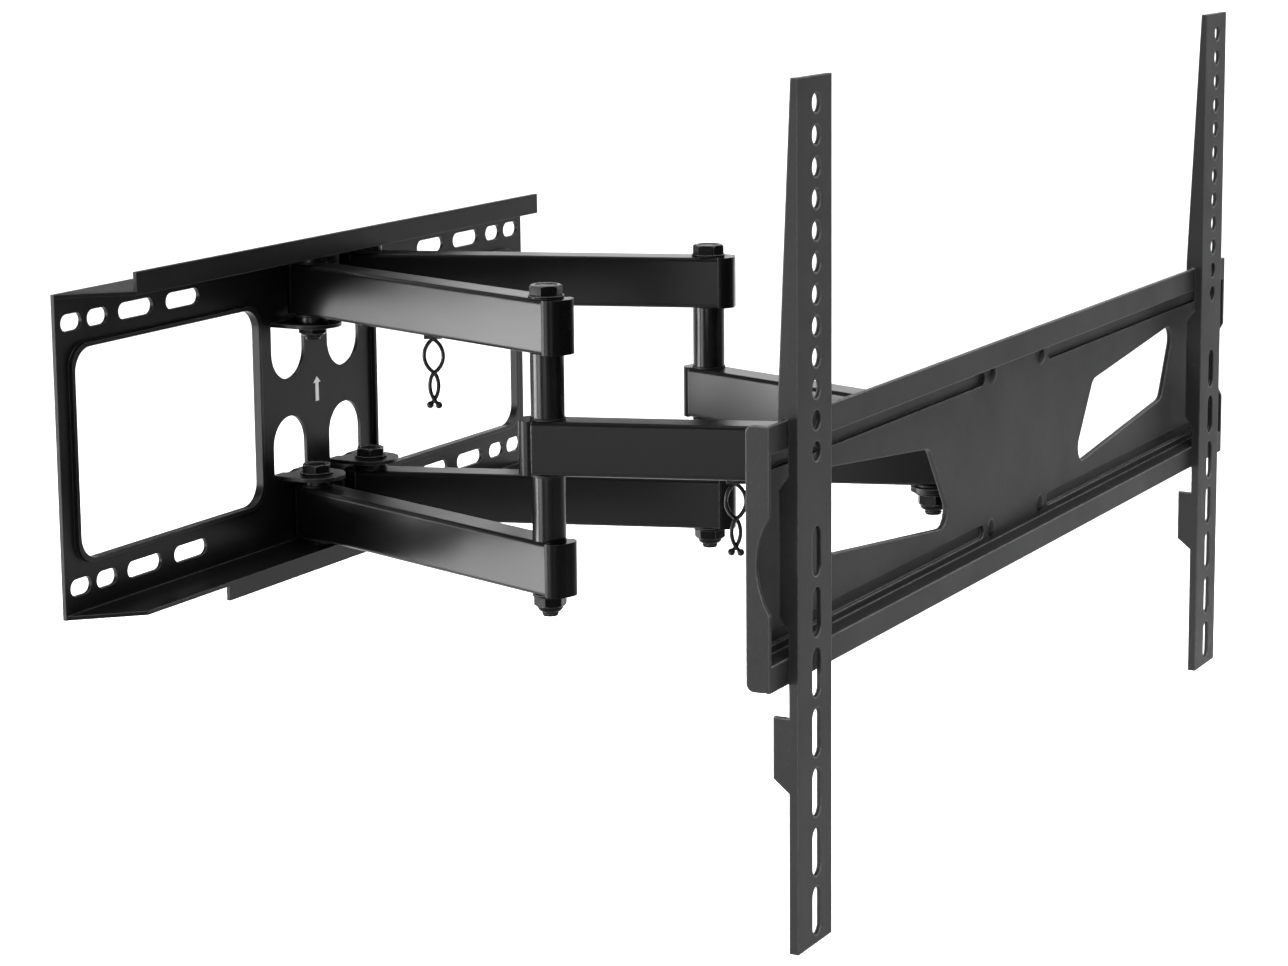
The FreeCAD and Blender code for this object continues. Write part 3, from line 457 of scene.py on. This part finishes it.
def hexBlock(bm, at, low, high, turn, chamferTop, chamferLow):
    # a hexagon with its corners taken off on a slant, as a bolt head is turned
    ring = bmesh.ops.create_circle(bm, cap_ends=True, segments=fasteners["hexSides"], radius=hexCorner())
    made = ring["verts"]
    bmesh.ops.rotate(bm, verts=made, cent=(0, 0, 0), matrix=Matrix.Rotation(turn, 3, "Z"))
    bmesh.ops.translate(bm, verts=made, vec=(at[0], at[1], low))
    base = made[0].link_faces[0]
    corners = [vert.co.xy - Vector(at) for vert in made]
    risen = bmesh.ops.extrude_face_region(bm, geom=[base])["geom"]
    tops = [item for item in risen if isinstance(item, bmesh.types.BMVert)]
    bmesh.ops.translate(bm, verts=tops, vec=(0, 0, high - low))
    body = set(made) | set(tops)
    slope = math.radians(fasteners["chamferSlope"])
    for way, level, wanted in ((1, high, chamferTop), (-1, low, chamferLow)):
        for spot in corners if wanted else ():
            out = spot.normalized()
            place = Vector((*(Vector(at) + out * fasteners["chamferStart"]), level))
            normal = Vector((out.x * math.sin(slope), out.y * math.sin(slope), way * math.cos(slope)))
            geom = [v for v in bm.verts if v in body]
            geom += [edge for edge in bm.edges if edge.verts[0] in body]
            geom += [face for face in bm.faces if face.verts[0] in body]
            cutGeom = bmesh.ops.bisect_plane(bm, geom=geom, plane_co=place, plane_no=normal,
                                             clear_outer=True)
            rims = [item for item in cutGeom["geom_cut"] if isinstance(item, bmesh.types.BMEdge)]
            bmesh.ops.holes_fill(bm, edges=rims, sides=0)
            body = {v for v in body if v.is_valid}
            body |= {v for edge in rims if edge.is_valid for v in edge.verts}


def lathe(bm, at, profile):
    chain = [bm.verts.new((at[0] + radius, at[1], height)) for radius, height in profile]
    runs = [bm.edges.new(pair) for pair in zip(chain, chain[1:])]
    bmesh.ops.spin(bm, geom=chain + runs, cent=(at[0], at[1], 0), axis=(0, 0, 1), angle=math.tau,
                   steps=fasteners["steps"], use_merge=True)


def hexBolt(bm, at, seat, top, tip, turn=0.0):
    # the head stands from seat to top, and the shank runs down to its tip
    hexBlock(bm, at, seat, top, turn, True, False)
    cap = max((face for face in bm.faces if abs(face.normal.z) > fasteners["levelFace"]),
              key=lambda face: (round(face.calc_center_median().z, 6), face.calc_area()))
    bmesh.ops.inset_region(bm, faces=[cap], thickness=fasteners["dishWide"], depth=0.0)
    bmesh.ops.inset_region(bm, faces=[cap], thickness=fasteners["dishDeep"], depth=0.0)
    bmesh.ops.translate(bm, verts=cap.verts[:], vec=(0, 0, -fasteners["dishDeep"]))
    radius, deep, pitch = fasteners["shank"], fasteners["threadDeep"], fasteners["pitch"]
    profile = [(0.0, seat), (radius, seat)]
    height = min(seat - pitch, tip + fasteners["threadLong"])
    profile.append((radius, height))
    while height - pitch > tip + fasteners["lastTurn"] * pitch:
        profile += [(radius - deep, height - pitch * 0.5), (radius, height - pitch)]
        height -= pitch
    profile += [(radius - deep, tip), (0.0, tip)]
    lathe(bm, at, profile)


def lockNut(bm, at, seat, end, turn=0.0):
    # the hexagon starts at the seat and the round collar stands at the end
    way = 1 if end > seat else -1
    share = seat + (end - seat) * (1 - fasteners["collarShare"])
    low, high = min(seat, share), max(seat, share)
    hexBlock(bm, at, low, high, turn, way > 0, way < 0)
    collar, bore = fasteners["collar"], fasteners["shank"] + fasteners["boreGap"]
    rise = end - share
    lathe(bm, at, [(bore, share), (collar, share), (collar, share + rise * fasteners["collarRise"]),
                   (collar - fasteners["shoulder"], share + rise * fasteners["shoulderRise"]),
                   (collar - fasteners["crown"], end), (bore + fasteners["mouth"], end),
                   (bore, end - rise * fasteners["mouthRise"]), (bore, share)])


def pairSpots(node):
    # the two axes of a pair of bolts or nuts that stand side by side
    low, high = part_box(node)
    across = high.x - hexCorner()
    return [(-across, (low.y + high.y) / 2), (across, (low.y + high.y) / 2)]


def wallBolts():
    for name, node in (("upperPivotBolts", "upper_pivot_bolts"), ("lowerPivotBolts", "lower_pivot_bolts")):
        bm = bmesh.new()
        low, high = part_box(node)
        for spot in pairSpots(node):
            hexBolt(bm, spot, high.z - fasteners["pivotHead"], high.z, low.z)
        finishPiece(bm, name, "boltBlack", "wall", [node])
    bm = bmesh.new()
    low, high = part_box("wall_pivot_nuts")
    for spot in pairSpots("wall_pivot_nuts"):
        lockNut(bm, spot, high.z, high.z - fasteners["pivotNut"])
        lockNut(bm, spot, low.z + fasteners["pivotNut"], low.z)
    finishPiece(bm, "wallPivotNuts", "boltBlack", "wall", ["wall_pivot_nuts"])


def elbowBolts():
    for side, way in (("left", -1), ("right", 1)):
        node = side + "_elbow_bolt"
        low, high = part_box(side + "_elbow_washers")
        spot = ((low.x + high.x) / 2, (low.y + high.y) / 2)
        boltLow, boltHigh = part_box(node)
        turn = math.radians(fasteners["elbowTurn"]) * way
        bm = bmesh.new()
        hexBolt(bm, spot, high.z, boltHigh.z, boltLow.z, turn)
        finishPiece(bm, side + "ElbowBolt", "boltBlack", "inner_" + side, [node])
        bm = bmesh.new()
        lockNut(bm, spot, low.z, low.z - fasteners["elbowNut"], turn)
        finishPiece(bm, side + "ElbowNut", "boltBlack", "inner_" + side,
                    [side + "_elbow_nut"])


def headBolts():
    low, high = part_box("head_pivot_bolts")
    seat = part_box("head_pivot_washers")[1].z
    nutLow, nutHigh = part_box("head_pivot_nuts")
    bolts, nuts = bmesh.new(), bmesh.new()
    for spot in pairSpots("head_pivot_bolts"):
        hexBolt(bolts, spot, seat, high.z, low.z)
        lockNut(nuts, spot, nutHigh.z, nutLow.z)
    finishPiece(bolts, "headPivotBolts", "boltBlack", "yoke", ["head_pivot_bolts"])
    finishPiece(nuts, "headPivotNuts", "boltBlack", "yoke", ["head_pivot_nuts"])


wallBolts()
elbowBolts()
headBolts()
print("bolts and lock nuts ready")


rivets = {
    "radius": 5.2 * mm,
    "proud": 2.1 * mm,
    "sunk": 0.6 * mm,        # how deep the edge of a head goes into the plate
    "plainRadius": 4 * mm,   # the heads that these replace
    "arcSteps": 6,
    "roundSteps": 28,
    "crease": 40.0,
}


def rivetHeads():
    # four low domes near the middle of the television plate
    low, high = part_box("tv_plate_rivets")
    reach, proud = rivets["radius"], rivets["proud"]
    sphere = (reach ** 2 + proud ** 2) / (2 * proud)
    half = math.asin(reach / sphere)
    bm = bmesh.new()
    turns = [half * step / rivets["arcSteps"] for step in range(rivets["arcSteps"] + 1)]
    dome = [(sphere * math.sin(turn), sphere * (1 - math.cos(turn)) - proud) for turn in turns]
    dome += [(reach, rivets["sunk"]), (0.0, rivets["sunk"])]
    plain = rivets["plainRadius"]
    for x in (low.x + plain, high.x - plain):
        for z in (low.z + plain, high.z - plain):
            chain = [bm.verts.new((x + out, high.y + deep, z)) for out, deep in dome]
            runs = [bm.edges.new(pair) for pair in zip(chain, chain[1:])]
            bmesh.ops.spin(bm, geom=chain + runs, cent=(x, 0, z), axis=(0, 1, 0), angle=math.tau,
                           steps=rivets["roundSteps"], use_merge=True)
    finishPiece(bm, "rivetHeads", "charcoalCoat", "television_plate", ["tv_plate_rivets"],
                rivets["crease"])


rivetHeads()
print("rivet heads ready")


clip = {
    "wire": 1.2 * mm,
    "pad": (11 * mm, 8 * mm, 3 * mm),
    "neck": 0.4 * mm,        # from the pad to where the wires start
    "spread": 0.60 * mm,     # the two wires pass beside each other
    "lean": 58.7,            # degrees from straight down where a wire leaves the pad
    "bends": [(12.05 * mm, 117.4), (2.0 * mm, -29.5), (15.0 * mm, -58.4), (20.0 * mm, -16.0)],
    "ball": 2.2 * mm,
    "facing": -61.5,         # degrees that the plane of the wires is turned from the wall
    "padRound": 0.45 * mm,
    "padSteps": 3,
    "wireSides": 12,
    "ballSides": 16,
    "ballRings": 10,
    "stepDegrees": 7,
    "crease": 50.0,
}


def bendWire(bm, start, across, side):
    # a round wire led through one bend after another in an upright plane
    normal = across.cross(Vector((0, 0, -1)))
    heading = math.radians(-clip["lean"]) * side
    place = start + normal * clip["spread"] * side
    ring = bmesh.ops.create_circle(bm, cap_ends=False, segments=clip["wireSides"], radius=clip["wire"])
    ringMade = ring["verts"]
    aim = across * math.sin(heading) + Vector((0, 0, -math.cos(heading)))
    turn = aim.to_track_quat("Z", "Y").to_matrix()
    bmesh.ops.rotate(bm, verts=ringMade, cent=(0, 0, 0), matrix=turn)
    bmesh.ops.translate(bm, verts=ringMade, vec=place)
    loop = list({edge for vert in ringMade for edge in vert.link_edges})
    bmesh.ops.contextual_create(bm, geom=loop)
    for radius, degrees in clip["bends"]:
        angle = math.radians(degrees) * side
        aim = across * math.sin(heading) + Vector((0, 0, -math.cos(heading)))
        inward = across * math.cos(heading) + Vector((0, 0, math.sin(heading)))
        centre = place + inward * radius * (1 if angle > 0 else -1)
        steps = max(4, int(abs(degrees) / clip["stepDegrees"]))
        turned = bmesh.ops.spin(bm, geom=loop, cent=centre, axis=normal, angle=-angle, steps=steps,
                                use_merge=False)
        loop = [item for item in turned["geom_last"] if isinstance(item, bmesh.types.BMEdge)]
        rim = {vert for edge in loop for vert in edge.verts}
        place = sum((vert.co for vert in rim), Vector()) / len(rim)
        heading += angle
    ball = bmesh.ops.create_uvsphere(bm, u_segments=clip["ballSides"], v_segments=clip["ballRings"],
                                     radius=clip["ball"])
    bmesh.ops.translate(bm, verts=ball["verts"], vec=place)


def cableClip(name, node, body):
    low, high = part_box(node)
    top = Vector(((low.x + high.x) / 2, (low.y + high.y) / 2, high.z))
    facing = math.radians(clip["facing"])
    across = Vector((math.cos(facing), math.sin(facing), 0))
    bm = bmesh.new()
    pad = bmesh.ops.create_cube(bm, size=1.0)["verts"]
    bmesh.ops.scale(bm, verts=pad, vec=clip["pad"])
    bmesh.ops.rotate(bm, verts=pad, cent=(0, 0, 0), matrix=Matrix.Rotation(facing, 3, "Z"))
    bmesh.ops.translate(bm, verts=pad, vec=top - Vector((0, 0, clip["pad"][2] / 2)))
    padEdges = list({edge for vert in pad for edge in vert.link_edges})
    bmesh.ops.bevel(bm, geom=padEdges, offset=clip["padRound"], segments=clip["padSteps"], profile=0.5,
                    affect="EDGES", material=-1)
    start = top - Vector((0, 0, clip["pad"][2] + clip["neck"]))
    for side in (-1, 1):
        bendWire(bm, start, across, side)
    finishPiece(bm, name, "wirePlastic", body, [node], clip["crease"])


cableClip("innerCableClip", "inner_cable_clip", "inner_left")
cableClip("outerCableClip", "outer_cable_clip", "outer_left")
print("cable clips ready")


arrow = {
    "top": 9 * mm,
    "tall": 16 * mm,
    "wide": 8 * mm,
    "stem": 3.6 * mm,
    "thick": 0.6 * mm,
    "proud": 0.05 * mm,
    "sheet": 2.5 * mm,       # thickness of the wall plate
}


def arrowInlay():
    # a pale arrow in the middle of the wall plate that shows which way is up
    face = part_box("wall_plate")[1].y - arrow["sheet"] - arrow["proud"]
    neck = arrow["top"] - arrow["wide"] / 2
    half, thin = arrow["wide"] / 2, arrow["stem"] / 2
    bm = bmesh.new()
    rim = [(0, arrow["top"]), (-half, neck), (-thin, neck), (-thin, arrow["top"] - arrow["tall"]),
           (thin, arrow["top"] - arrow["tall"]), (thin, neck), (half, neck)]
    front = bm.faces.new([bm.verts.new((x, face, z)) for x, z in rim])
    made = bmesh.ops.extrude_face_region(bm, geom=[front])["geom"]
    moved = [item for item in made if isinstance(item, bmesh.types.BMVert)]
    bmesh.ops.translate(bm, verts=moved, vec=(0, arrow["thick"], 0))
    finishPiece(bm, "arrowInlay", "palePaint", "wall")


arrowInlay()
print("arrow ready")
